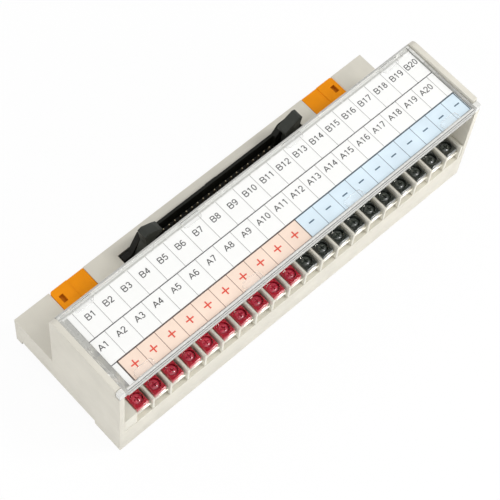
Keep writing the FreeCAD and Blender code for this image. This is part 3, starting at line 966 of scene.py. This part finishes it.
# %% Plus and minus signs
sign_line = -20.65 * MM
arm = 1.5 * MM
stroke = 0.48 * MM
plus_bars = []
for index in range(columns // 2):
    x = front_start + (index + 0.5) * pitch
    plus_bars.append((x - arm, x + arm, sign_line - stroke / 2, sign_line + stroke / 2))
    plus_bars.append((x - stroke / 2, x + stroke / 2, sign_line + stroke / 2, sign_line + arm))
    plus_bars.append((x - stroke / 2, x + stroke / 2, sign_line - arm, sign_line - stroke / 2))
bars_of_ink("plus_signs", plus_bars, 2, inked("red_ink", (226, 92, 76)))
minus_arm = 1.1 * MM
minus_bars = []
for index in range(columns // 2, columns):
    x = front_start + (index + 0.5) * pitch
    minus_bars.append((x - minus_arm, x + minus_arm, sign_line - stroke / 2, sign_line + stroke / 2))
bars_of_ink("minus_signs", minus_bars, 2, inked("blue_grey_ink", (92, 116, 134)))

# %% [markdown]
# The row marks are drawn with plain strokes of one width, like a technical stencil. Each letter or figure is
# a few lines and arcs in a box one unit high. A curve with a round bevel follows each stroke, becomes a mesh
# and is then pressed flat, so it lies on the paper as ink does.

# %% Stroke letters
def arc(middle, reach, start, end, steps=10):
    """Points along an arc, with angles in degrees."""
    angles = [math.radians(start + (end - start) * step / steps) for step in range(steps + 1)]
    return [(middle[0] + reach[0] * math.cos(a), middle[1] + reach[1] * math.sin(a)) for a in angles]


six = [arc((0.29, 0.50), (0.23, 0.46), 55, 190), arc((0.28, 0.31), (0.22, 0.27), 0, 360, 14)]
letters = {
    "A": [[(0.02, 0.04), (0.35, 0.96)], [(0.35, 0.96), (0.68, 0.04)], [(0.14, 0.34), (0.56, 0.34)]],
    "B": [
        [(0.10, 0.04), (0.10, 0.96)],
        [(0.10, 0.96), (0.38, 0.96), *arc((0.40, 0.745), (0.21, 0.215), 90, -90), (0.10, 0.53)],
        [(0.10, 0.53), (0.40, 0.53), *arc((0.41, 0.285), (0.24, 0.245), 90, -90), (0.10, 0.04)],
    ],
    "0": [arc((0.28, 0.50), (0.21, 0.46), 0, 360, 16)],
    "1": [[(0.32, 0.02), (0.32, 0.98)], [(0.32, 0.95), (0.12, 0.76)]],
    "2": [[*arc((0.28, 0.70), (0.21, 0.26), 170, -32), (0.06, 0.06)], [(0.05, 0.04), (0.51, 0.04)]],
    "3": [arc((0.26, 0.735), (0.19, 0.225), 155, -90), arc((0.26, 0.275), (0.23, 0.235), 90, -155)],
    "4": [[(0.40, 0.02), (0.40, 0.96)], [(0.40, 0.94), (0.04, 0.30)], [(0.03, 0.28), (0.54, 0.28)]],
    "5": [
        [(0.48, 0.95), (0.12, 0.95)], [(0.13, 0.96), (0.09, 0.48)],
        arc((0.27, 0.33), (0.23, 0.29), 140, -150),
    ],
    "6": six,
    "7": [[(0.05, 0.95), (0.51, 0.95)], [(0.50, 0.95), (0.20, 0.02)]],
    "8": [arc((0.28, 0.745), (0.18, 0.215), 0, 360, 14), arc((0.28, 0.285), (0.22, 0.245), 0, 360, 14)],
    "9": [[(0.56 - x, 1 - y) for x, y in stroke] for stroke in six],
}
cap_height = 2.2 * MM
letter_stroke = 0.30 * MM
letter_stretch = 1.2
letter_step = 0.93
figure_step = 0.78
mark_margin = 0.55 * MM


def mark(text, x, y):
    """One mark of stroke letters, centred at a point of the label."""
    pen = 0
    outline = bpy.data.curves.new("mark", "CURVE")
    outline.dimensions = "3D"
    outline.bevel_depth = letter_stroke / 2
    outline.bevel_resolution = 0
    outline.use_fill_caps = True
    for sign in text:
        for stroke in letters[sign]:
            line = outline.splines.new("POLY")
            line.points.add(len(stroke) - 1)
            for point, (across, up) in zip(line.points, stroke):
                point.co = (pen + across * letter_stretch * cap_height, y + (up - 0.5) * cap_height, 0, 1)
        pen += cap_height * (letter_step if sign in "AB" else figure_step)
    piece = bpy.data.objects.new("mark", outline)
    scene.collection.objects.link(piece)
    only(piece)
    bpy.ops.object.convert(target="MESH")
    piece = bpy.context.object
    piece.scale = (1, 1, ink_step / letter_stroke)
    settle(piece)
    reach = [vertex.co.x for vertex in piece.data.vertices]
    shift = min(x - (min(reach) + max(reach)) / 2, paper_high.x - mark_margin - max(reach))
    piece.location = (shift, 0, paper_high.z + 2 * ink_step)
    settle(piece)
    return piece


back_marks_line = 0.35 * MM
middle_marks_line = -9.95 * MM
marks = []
for index in range(columns):
    number = str(index + 1)
    marks.append(mark("B" + number, front_start + (index + 0.5) * pitch, back_marks_line))
    marks.append(mark("A" + number, middle_start + (index + 0.5) * pitch, middle_marks_line))
row_marks = joined(marks, "row_marks")
hand_over(row_marks, "cover", "label_white", inked("grey_ink", (92, 92, 92)))
print(2 * columns, "marks,", len(row_marks.data.polygons), "faces")

# %% [markdown]
# ## Sizes
#
# Both boxes, of the solids and of the dressed block, are measured and printed before the end. The
# dressed block has to stay as large as the solids.

# %% Measure both boxes and print them
visual_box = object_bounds()
boxes = {"cad": [list(corner) for corner in cad_box], "visual": [list(corner) for corner in visual_box]}
print("boxes", [[[round(c, 5) for c in corner] for corner in pair] for pair in boxes.values()])
